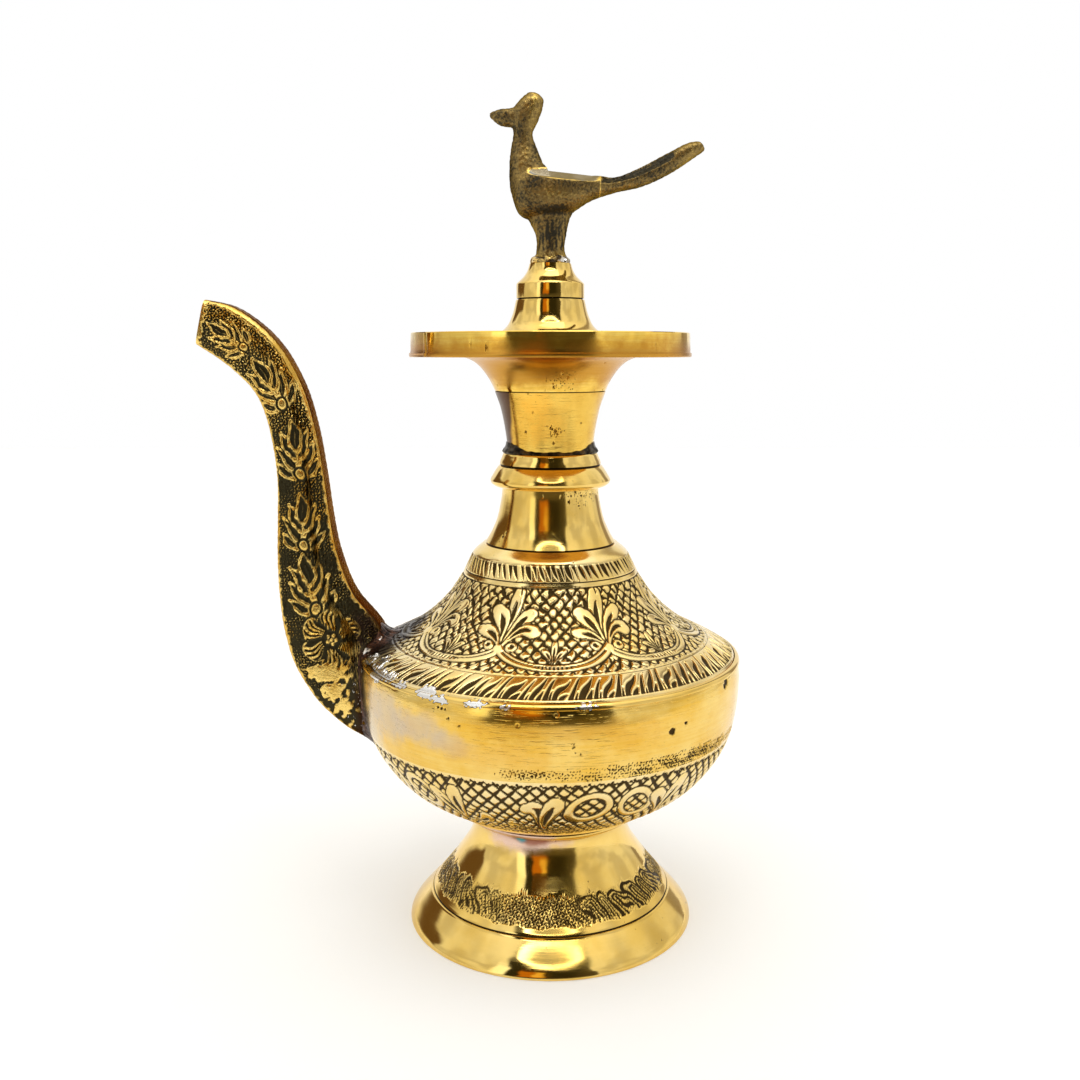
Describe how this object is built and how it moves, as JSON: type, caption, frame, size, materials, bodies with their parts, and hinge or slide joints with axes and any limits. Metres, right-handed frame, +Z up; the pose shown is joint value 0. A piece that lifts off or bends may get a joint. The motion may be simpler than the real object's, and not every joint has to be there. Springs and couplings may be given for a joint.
{
  "type": "spouted water pot",
  "caption": "Footed brass pouring pot with a tall S-curved spout, a saucer-rimmed mouth and a lift-off bell lid topped by a cast bird.",
  "frame": {"origin": "centre of the whole pot's box at the height of the surface that it stands on; the vessel's axis is 21 mm along +X from it", "axes": "+Z up along the vessel's axis, the spout points along -X, and the pot is symmetric about the plane Y = 0"},
  "size_m": [0.1484, 0.1064, 0.2288],
  "materials": {
    "polished_brass": "polished",
    "satin_brass": "satin",
    "aged_cast_brass": "aged casting with rubbed edges",
    "solder": "dull, blackened"
  },
  "bodies": {
    "vessel": {"foot": "polished_brass", "foot_braze_bead": "solder", "lower_bowl": "polished_brass", "shoulder_seam_bead": "polished_brass", "shoulder": "polished_brass", "neck": "polished_brass", "collar_ring": "polished_brass", "cup_solder_ring": "solder", "mouth_cup": "satin_brass", "saucer_brim": "satin_brass", "spout_near_half": "aged_cast_brass", "spout_far_half": "aged_cast_brass", "spout_root_solder": "solder"},
    "lid": {"lid_bell": "polished_brass", "lid_locating_ring": "polished_brass", "finial_solder": "solder", "bird_finial": "aged_cast_brass"}
  },
  "joints": [
    {"name": "lid_lift", "type": "slide", "parent": "vessel", "child": "lid", "axis": [0, 0, 1], "range_m": [0, 0.04]}
  ]
}
